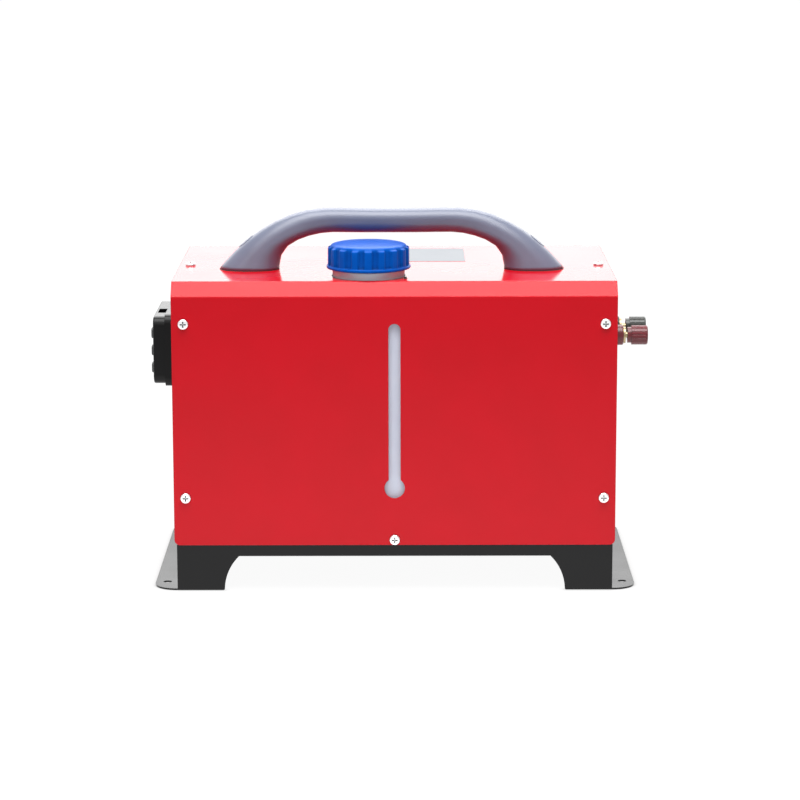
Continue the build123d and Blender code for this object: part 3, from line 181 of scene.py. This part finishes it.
def bluePolypropylene():
    # Moulded polypropylene with blue pigment: a soft gloss on every rib, with painted shade making it deeper blue
    # down in the grooves
    finish = newFinish("bluePolypropylene", {
        "Roughness": 0.36, "IOR": 1.36, "Specular Tint": linear("#74B8FF")})
    drift(finish, ("#004EB0", "#0056BC"), patchMm=12)
    grain(finish, sizeMm=2.5, depthMm=0.006)
    # painted shade: the blue darkens down in the grooves between the ribs
    recessShade(finish, recessMm=5, shadedBelow=0.5, unshadedAbove=0.98, shadeColour="#001C4C")
    return finish["material"]


def blackRubber():
    # Moulded nitrile rubber: black, dull, dusty grey at a glance
    finish = newFinish("blackRubber", {"Roughness": 0.75})
    drift(finish, ("#191919", "#202020"), patchMm=8)
    grain(finish, sizeMm=0.8, depthMm=0.03)
    return finish["material"]


def rolledAluminium():
    # Mill-finish aluminium sheet: dull grey with drawn streaks along the rolling direction
    finish = newFinish("rolledAluminium", {
        "Base Color": linear("#B3B5B8"), "Metallic": 1.0, "Specular Tint": linear("#8C8E90")})
    noise = grain(finish, sizeMm=1, depthMm=0.006, stretch=(0.05, 1, 1))
    roughRange(finish, noise, low=0.42, high=0.5)
    return finish["material"]


def machinedBrass():
    # Turned brass under a thin nickel flash: pale with a warm tinge, fine turning lines
    finish = newFinish("machinedBrass", {"Metallic": 1.0})
    noise = drift(finish, ("#94825E", "#A4957A"), patchMm=2)
    roughRange(finish, noise, low=0.2, high=0.32)
    grain(finish, sizeMm=0.4, depthMm=0.006, stretch=(1, 0.1, 0.1))
    return finish["material"]


def clearNylon():
    # Clear moulded nylon of the fuel filter's bowl: slightly yellow and not quite clear
    finish = newFinish("clearNylon", {
        "Base Color": linear("#EFEDE2"), "Transmission Weight": 0.85, "IOR": 1.53})
    noise = grain(finish, sizeMm=2, depthMm=0.01)
    roughRange(finish, noise, low=0.08, high=0.18)
    return finish["material"]


def turnedSteel():
    # Plain turned and drawn steel: grey, fine lines round it
    finish = newFinish("turnedSteel", {"Metallic": 1.0})
    noise = drift(finish, ("#9E9EA1", "#B4B4B6"), patchMm=6)
    roughRange(finish, noise, low=0.28, high=0.42)
    grain(finish, sizeMm=0.5, depthMm=0.01)
    return finish["material"]


def blackMouldedPlastic():
    # Injection-moulded ABS with a fine spark texture: near black, pale where it turns to the light
    finish = newFinish("blackMouldedPlastic", {"Roughness": 0.2, "IOR": 1.27})
    drift(finish, ("#080809", "#0C0C0D"), patchMm=10)
    grain(finish, sizeMm=0.6, depthMm=0.006, edgeMm=0.4)
    return finish["material"]


def castAluminium():
    # Die-cast aluminium as it leaves the mould: grey, faintly grainy
    finish = newFinish("castAluminium", {"Metallic": 1.0})
    noise = drift(finish, ("#A8A9AC", "#C3C4C6"), patchMm=9)
    roughRange(finish, noise, low=0.4, high=0.56)
    grain(finish, sizeMm=0.9, depthMm=0.03)
    return finish["material"]


def redPhenolic():
    # Moulded phenolic of the binding post: wine red with a polished skin
    finish = newFinish("redPhenolic", {"Roughness": 0.22})
    drift(finish, ("#64121D", "#701723"), patchMm=4)
    grain(finish, sizeMm=1, depthMm=0.008)
    return finish["material"]


def blackPhenolic():
    # Moulded phenolic of the other binding post: charcoal with a greenish cast and a polished skin
    finish = newFinish("blackPhenolic", {"Roughness": 0.26})
    drift(finish, ("#2B2F2B", "#333733"), patchMm=4)
    grain(finish, sizeMm=1, depthMm=0.008)
    return finish["material"]


def siliconeKeys():
    # Moulded silicone of the controller's keys: dark grey, soft to the light, with a fine bloom
    finish = newFinish("siliconeKeys", {"Roughness": 0.5})
    drift(finish, ("#3A3B3C", "#424344"), patchMm=3)
    grain(finish, sizeMm=0.5, depthMm=0.008)
    return finish["material"]


def darkAcrylic():
    # Dark tinted acrylic over the display: black until light catches it
    finish = newFinish("darkAcrylic", {"Base Color": linear("#0B0C0E")})
    noise = grain(finish, sizeMm=4, depthMm=0.004)
    roughRange(finish, noise, low=0.05, high=0.12)
    return finish["material"]


def greenSolderMask():
    # Glass-epoxy board under green solder mask, with the weave just showing
    finish = newFinish("greenSolderMask", {"Roughness": 0.3})
    drift(finish, ("#0C5126", "#126332"), patchMm=1.2)
    grain(finish, sizeMm=0.5, depthMm=0.01)
    return finish["material"]


def cableVinyl():
    # Extruded PVC sheath: black, faintly waxy, with slight waves along it
    finish = newFinish("cableVinyl", {"Roughness": 0.42})
    drift(finish, ("#1A1A1B", "#212122"), patchMm=6)
    grain(finish, sizeMm=2, depthMm=0.03)
    return finish["material"]


def lightenedNeck():
    # The filler neck: pale grey with a cool cast, lightly uneven; a lighter, cooler copy of its plastic, painted
    # so to cancel the red light that the cover throws on it
    finish = newFinish("lightenedNeck", {"Roughness": 0.5, "IOR": 1.3})
    drift(finish, ("#E0F2FC", "#ECFAFF"), patchMm=12)
    grain(finish, sizeMm=1.2, depthMm=0.006)
    return finish["material"]


finishes = {
    "red_powder_coat": redPowderCoat(),
    "black_powder_coat": blackPowderCoat(),
    "zinc_steel": zincPlate(),
    "handle_plastic": greyHandlePlastic(),
    "milky_plastic": naturalPolyethylene(),
    "blue_plastic": bluePolypropylene(),
    "soft_rubber": blackRubber(),
    "sheet_aluminium": rolledAluminium(),
    "brass_fitting": machinedBrass(),
    "clear_plastic": clearNylon(),
    "plain_steel": turnedSteel(),
    "black_plastic": blackMouldedPlastic(),
    "cast_aluminium": castAluminium(),
    "red_plastic": redPhenolic(),
    "display_glass": darkAcrylic(),
    "circuit_board": greenSolderMask(),
    "cable_sheath": cableVinyl(),
}

# Nodes whose finish differs from the rest of their slot
ownFinishes = (
    (siliconeKeys(), ("button_low", "button_middle", "button_high")),
    (blackPhenolic(), ("black_post_base", "black_knob")),
    # the filler neck's copy is painted lighter and cooler to cancel the red light on it
    (lightenedNeck(), ("tank_neck",)),
)


def dress(piece, material):
    piece.data.materials.clear()
    piece.data.materials.append(material)


for entry in frame["record"]["subparts"]:
    dress(frame["nodes"][entry["node"]], finishes[entry["material_slot"]])
for ownFinish, nodes in ownFinishes:
    for node in nodes:
        dress(frame["nodes"][node], ownFinish)
print("CAD pieces dressed")


def makePiece(name, bm, slot, body, replaced=(), smooth=True):
    # A finished bmesh becomes a piece of the heater in its slot's finish
    bmesh.ops.recalc_face_normals(bm, faces=bm.faces)
    for face in bm.faces:
        face.smooth = smooth
    mesh = bpy.data.meshes.new(name)
    bm.to_mesh(mesh)
    bm.free()
    piece = bpy.data.objects.new(name, mesh)
    bpy.context.scene.collection.objects.link(piece)
    dress(piece, finishes[slot])
    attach(piece, body)
    if replaced:
        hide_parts(*replaced)
    return piece


def ringAfter(geometry):
    # The vertices that an extrusion made, and their outer edges
    verts = [item for item in geometry if isinstance(item, bmesh.types.BMVert)]
    edges = [item for item in geometry if isinstance(item, bmesh.types.BMEdge) and item.is_boundary]
    return verts, edges


# The handle: its upper and lower line, heights above the cover, from the foot to the middle.
# Each row is outer x, its height, inner x, its height, half width.
handle = {
    "centre": (-2.4, -32.0, 275.5),
    "rows": ((161.3, -8.0, 102.0, -8.0, 24.5), (152.0, 4.0, 101.2, 2.5, 21.9), (141.8, 15.1, 99.2, 12.3, 19.5),
             (130.6, 25.2, 93.3, 20.6, 17.4), (118.4, 34.2, 84.2, 26.1, 15.5), (105.2, 41.9, 74.2, 29.7, 13.9),
             (91.2, 48.2, 63.8, 32.0, 12.6), (76.5, 52.4, 53.2, 32.9, 12.0), (61.3, 54.3, 42.6, 32.8, 12.0),
             (46.0, 54.4, 31.9, 32.7, 12.0), (30.6, 54.1, 21.3, 32.6, 12.0), (15.3, 53.9, 10.6, 32.6, 12.0),
             (0.0, 53.8, 0.0, 32.6, 12.0)),
    "cornerShare": 0.86,  # how much of a section's half size its corners round off
    "cornerSegments": 12,
    "footLevel": 0.0,
    # the dark layer under the feet, painted shade, reaches up to this height
    "shadowBandTop": 0.7,
}


def stationMatrix(side, row):
    # Carries a square of half size 1 to the handle's section at one row
    outerX, outerZ, innerX, innerZ, halfWidth = row
    top = Vector((side * outerX, 0, outerZ)) * mm
    bottom = Vector((side * innerX, 0, innerZ)) * mm
    across = (top - bottom) / 2
    along = Vector((0, 1, 0)).cross(across).normalized() * mm
    middle = (top + bottom) / 2 + Vector(handle["centre"]) * mm
    matrix = Matrix((across, Vector((0, halfWidth * mm, 0)), along)).transposed().to_4x4()
    return Matrix.Translation(middle) @ matrix


def cutLevel(bm, height, keepAbove):
    # Keeps what is above or below one level over the cover, and closes the cut
    level = (Vector(handle["centre"]) + Vector((0, 0, height))) * mm
    cut = bmesh.ops.bisect_plane(bm, geom=bm.verts[:] + bm.edges[:] + bm.faces[:], plane_co=level,
                                 plane_no=(0, 0, 1), clear_inner=keepAbove, clear_outer=not keepAbove)
    edges = [item for item in cut["geom_cut"] if isinstance(item, bmesh.types.BMEdge)]
    bmesh.ops.holes_fill(bm, edges=edges)


def handleBody():
    # A rounded ring is drawn out from foot to foot, station by station
    rows = [(1, row) for row in handle["rows"]] + [(-1, row) for row in reversed(handle["rows"][:-1])]
    bm = bmesh.new()
    corners = [bm.verts.new(place) for place in ((-1, -1, 0), (1, -1, 0), (1, 1, 0), (-1, 1, 0))]
    bm.faces.new(corners)
    bmesh.ops.bevel(bm, geom=corners, offset=handle["cornerShare"], segments=handle["cornerSegments"],
                    affect="VERTICES", profile=0.5, material=-1)
    matrix = stationMatrix(*rows[0])
    bmesh.ops.transform(bm, matrix=matrix, verts=bm.verts)
    ring = bm.edges[:]
    for side, row in rows[1:]:
        following = stationMatrix(side, row)
        verts, ring = ringAfter(bmesh.ops.extrude_edge_only(bm, edges=ring)["geom"])
        bmesh.ops.transform(bm, matrix=following @ matrix.inverted(), verts=verts)
        matrix = following
    bmesh.ops.holes_fill(bm, edges=ring)
    return bm


def gripHandle():
    bm = handleBody()
    cutLevel(bm, handle["shadowBandTop"], keepAbove=True)
    return makePiece("gripHandle", bm, "handle_plastic", "case", ["handle"])


def footShadowPads():
    # Painted shadow: a thin dark rubber layer under both feet, standing in for the shade where the feet meet the
    # cover
    bm = handleBody()
    cutLevel(bm, handle["footLevel"], keepAbove=True)
    cutLevel(bm, handle["shadowBandTop"], keepAbove=False)
    return makePiece("footShadowPads", bm, "soft_rubber", "case", smooth=False)


gripHandle()
footShadowPads()
print("handle made")

# The small rubber plug in the spill drain beside the filler neck: rows of radius and height over the cover
plug = {
    "centre": (9.8, -98.4, 275.5),
    "rows": ((0.0, -1.5), (1.7, -1.5), (1.7, 0.2), (1.3, 0.3), (1.25, 1.3), (0.9, 1.7), (0.0, 1.8)),
    "segments": 32,
    "weld": 0.001,
}


def drainPlug():
    bm = bmesh.new()
    verts = [bm.verts.new((radius * mm, 0, height * mm)) for radius, height in plug["rows"]]
    edges = [bm.edges.new(pair) for pair in zip(verts, verts[1:])]
    bmesh.ops.spin(bm, geom=verts + edges, cent=(0, 0, 0), axis=(0, 0, 1), angle=math.tau,
                   steps=plug["segments"], use_merge=True)
    bmesh.ops.remove_doubles(bm, verts=bm.verts, dist=plug["weld"] * mm)
    bmesh.ops.translate(bm, vec=Vector(plug["centre"]) * mm, verts=bm.verts)
    return makePiece("drainPlug", bm, "soft_rubber", "case")


# The bare plate that takes a label on top of the case
label = {"centre": (20.0, 52.0, 275.5), "size": (90.0, 88.0, 0.2), "corner": 3.0, "cornerSegments": 6}


def labelPlate():
    thickness = label["size"][2]
    bm = bmesh.new()
    bmesh.ops.create_cube(bm, size=mm)
    bmesh.ops.scale(bm, vec=label["size"], verts=bm.verts)
    upright = [edge for edge in bm.edges if abs(edge.verts[0].co.z - edge.verts[1].co.z) > thickness * mm / 2]
    bmesh.ops.bevel(bm, geom=upright, offset=label["corner"] * mm, segments=label["cornerSegments"],
                    profile=0.5, affect="EDGES", material=-1)
    lift = Vector((0, 0, thickness / 2))
    bmesh.ops.translate(bm, vec=(Vector(label["centre"]) + lift) * mm, verts=bm.verts)
    return makePiece("labelPlate", bm, "sheet_aluminium", "case", smooth=False)


drainPlug()
labelPlate()
print("plug and label plate made")

# The fuel cap: each row is height above its rim, radius at a rib, radius in a groove
cap = {
    "centre": (-22.8, -78.0, 282.5),
    "ribs": 18,
    "vertsPerRib": 16,
    "grooveVerts": 8,
    "rows": ((0.0, 31.0, 31.0), (0.0, 36.6, 36.6), (0.3, 37.1, 37.1), (0.8, 37.3, 37.3), (2.0, 37.3, 37.3),
             (2.5, 37.1, 37.1), (2.8, 36.6, 36.2), (3.1, 36.4, 34.9), (4.0, 36.4, 34.2), (17.4, 36.2, 34.0),
             (18.2, 36.0, 33.9), (18.6, 35.4, 33.8), (18.9, 34.2, 33.7), (19.7, 33.6, 33.5), (20.7, 32.8, 32.8),
             (21.3, 31.4, 31.4), (21.7, 29.6, 29.6), (22.0, 27.0, 27.0), (22.3, 22.5, 22.5), (22.6, 17.5, 17.5),
             (22.8, 12.0, 12.0), (22.9, 6.0, 6.0)),
}


def fuelCap():
    # A ring of 18 ribs is drawn up and in, row by row, and closed on top
    bm = bmesh.new()
    inGroove = bm.verts.layers.int.new("inGroove")
    bmesh.ops.create_circle(bm, segments=cap["ribs"] * cap["vertsPerRib"], radius=1)
    ring = bm.edges[:]
    verts = bm.verts[:]
    for vert in verts:
        # a rib stands at the very front, and turn counts ribs from there
        turn = (math.atan2(vert.co.y, vert.co.x) / math.tau + 0.25) * cap["ribs"]
        fromRib = abs(turn - round(turn)) * cap["vertsPerRib"]
        vert[inGroove] = fromRib > (cap["vertsPerRib"] - cap["grooveVerts"]) / 2
    z, ribNow, grooveNow = cap["rows"][0]
    bmesh.ops.scale(bm, vec=(ribNow * mm, ribNow * mm, 1), verts=verts)
    bmesh.ops.translate(bm, vec=(0, 0, z * mm), verts=verts)
    for nextZ, ribNext, grooveNext in cap["rows"][1:]:
        verts, ring = ringAfter(bmesh.ops.extrude_edge_only(bm, edges=ring)["geom"])
        ribs = [vert for vert in verts if not vert[inGroove]]
        grooves = [vert for vert in verts if vert[inGroove]]
        bmesh.ops.scale(bm, vec=(ribNext / ribNow, ribNext / ribNow, 1), verts=ribs)
        bmesh.ops.scale(bm, vec=(grooveNext / grooveNow, grooveNext / grooveNow, 1), verts=grooves)
        bmesh.ops.translate(bm, vec=(0, 0, (nextZ - z) * mm), verts=verts)
        z, ribNow, grooveNow = nextZ, ribNext, grooveNext
    bmesh.ops.holes_fill(bm, edges=ring)
    bmesh.ops.translate(bm, vec=Vector(cap["centre"]) * mm, verts=bm.verts)
    return makePiece("fuelCap", bm, "blue_plastic", "fuel_cap", ["fuel_cap"])


fuelCap()
print("cap made")

# Camera where the photograph was taken from: metres, radians and pixels of the photo
view = {"place": (0.00483, -2.5947, 0.64642), "pitch": 0.1898, "roll": -0.0016, "focalPixels": 2867.6,
        "photoPixels": 800, "sensorMm": 36, "clipEnd": 100}


def makeCamera():
    data = bpy.data.cameras.new("photoCamera")
    data.sensor_width = view["sensorMm"]
    data.sensor_fit = "HORIZONTAL"
    data.lens = view["focalPixels"] * view["sensorMm"] / view["photoPixels"]
    data.clip_end = view["clipEnd"]
    camera = bpy.data.objects.new("photoCamera", data)
    bpy.context.scene.collection.objects.link(camera)
    turn = Matrix.Rotation(math.pi / 2 - view["pitch"], 4, "X") @ Matrix.Rotation(view["roll"], 4, "Z")
    camera.matrix_world = Matrix.Translation(view["place"]) @ turn
    bpy.context.scene.camera = camera


# Each lamp: place, what it points at, width and height, all in metres, and radiance
lamps = {
    "overheadBox": {"place": (0, -0.39, 1.9), "target": (0, -0.05, 0.25), "size": (1.8, 1.2), "radiance": 6.5},
    "skyBox": {"place": (0, -1.25, 1.9), "target": (0, 0, 0.3), "size": (1.8, 0.8), "radiance": 2.4},
    "backBox": {"place": (0, 2.0, 1.22), "target": (0, 0, 1.22), "size": (3.6, 1.5), "radiance": 1.4},
    "rimBox": {"place": (0, 1.1, 1.7), "target": (0, 0, 0.3), "size": (1.6, 0.8), "radiance": 4.0},
    "frontBox": {"place": (-0.9, -2.6, 1.9), "target": (0, 0, 0.15), "size": (1.8, 1.4), "radiance": 1.0},
}


def makeLamp(name, lamp):
    data = bpy.data.lights.new(name, "AREA")
    data.shape = "RECTANGLE"
    data.size, data.size_y = lamp["size"]
    data.energy = lamp["radiance"] * lamp["size"][0] * lamp["size"][1] * math.pi
    light = bpy.data.objects.new(name, data)
    bpy.context.scene.collection.objects.link(light)
    place = Vector(lamp["place"])
    facing = (Vector(lamp["target"]) - place).to_track_quat("-Z", "Y")
    light.matrix_world = Matrix.Translation(place) @ facing.to_matrix().to_4x4()
    light.visible_camera = False


studio = {"onObject": 0.2, "seen": 1.0}


def makeWorld():
    # White to the camera, to gloss and through glass, and a calm studio level for the light on the object
    world = bpy.data.worlds.new("studio")
    bpy.context.scene.world = world
    world.use_nodes = True
    world.node_tree.nodes.clear()
    rays = addNode(world, "ShaderNodeLightPath")
    seen = rays.outputs["Is Camera Ray"]
    for ray in ("Is Glossy Ray", "Is Transmission Ray"):
        either = addNode(world, "ShaderNodeMath", {"operation": "MAXIMUM"}, {0: seen, 1: rays.outputs[ray]})
        seen = either.outputs[0]
    level = addNode(world, "ShaderNodeMapRange", {"To Min": studio["onObject"], "To Max": studio["seen"]},
                    {"Value": seen})
    shade = addNode(world, "ShaderNodeBackground", {"Color": (1, 1, 1, 1)}, {"Strength": level.outputs["Result"]})
    addNode(world, "ShaderNodeOutputWorld", links={"Surface": shade.outputs[0]})


# The floor's glow, far from the heater and near it: as the camera sees it, as gloss mirrors it, and as
# light on the object. near and far are metres from the middle.
floorGlow = {"seen": (1.0, 0.95), "mirrored": (0.75, 1.6), "cast": (0.2, 1.05), "near": 0.3, "far": 1.6,
             "contactShadowLevel": 0.25, "contactMm": 6, "matt": 0.06, "halfSize": 30}


def makeFloor():
    # A plain pale floor, almost white by itself and brightest round the heater, that takes its shadow in its matt
    # part and has a painted contact shadow in its glow where the heater comes close
    material = bpy.data.materials.new("paleFloor")
    material.use_nodes = True
    material.node_tree.nodes.clear()
    rays = addNode(material, "ShaderNodeLightPath")
    place = addNode(material, "ShaderNodeTexCoord").outputs["Object"]
    distance = addNode(material, "ShaderNodeVectorMath", {"operation": "LENGTH"}, {0: place}).outputs["Value"]
    glows = {}
    for name in ("seen", "mirrored", "cast"):
        farLevel, nearLevel = floorGlow[name]
        glows[name] = addNode(material, "ShaderNodeMapRange", {
            "From Min": floorGlow["far"], "From Max": floorGlow["near"], "To Min": farLevel, "To Max": nearLevel},
            {"Value": distance}).outputs["Result"]
    unseen = addNode(material, "ShaderNodeMapRange", links={
        "Value": rays.outputs["Is Glossy Ray"], "To Min": glows["cast"], "To Max": glows["mirrored"]})
    # painted shadow: what the camera sees of the glow darkens where the heater comes within contactMm
    openness = addNode(material, "ShaderNodeAmbientOcclusion", {
        "samples": closeSamples, "Distance": floorGlow["contactMm"] * mm})
    seen = addNode(material, "ShaderNodeMapRange", {"To Min": floorGlow["contactShadowLevel"]},
                   {"Value": openness.outputs["AO"], "To Max": glows["seen"]})
    level = addNode(material, "ShaderNodeMapRange", links={
        "Value": rays.outputs["Is Camera Ray"],
        "To Min": unseen.outputs["Result"], "To Max": seen.outputs["Result"]})
    glow = addNode(material, "ShaderNodeEmission", {"Color": (1, 1, 1, 1)}, {"Strength": level.outputs["Result"]})
    grey = floorGlow["matt"]
    matt = addNode(material, "ShaderNodeBsdfDiffuse", {"Color": (grey, grey, grey, 1)})
    both = addNode(material, "ShaderNodeAddShader", links={0: glow.outputs[0], 1: matt.outputs[0]})
    addNode(material, "ShaderNodeOutputMaterial", links={"Surface": both.outputs[0]})
    bm = bmesh.new()
    bmesh.ops.create_grid(bm, x_segments=1, y_segments=1, size=floorGlow["halfSize"])
    mesh = bpy.data.meshes.new("floor")
    bm.to_mesh(mesh)
    bm.free()
    floor = bpy.data.objects.new("floor", mesh)
    bpy.context.scene.collection.objects.link(floor)
    floor.data.materials.append(material)


makeCamera()
for lampName, lamp in lamps.items():
    makeLamp(lampName, lamp)
makeWorld()
makeFloor()
bpy.context.scene.view_settings.view_transform = "Standard"
print("camera, lamps and floor set")
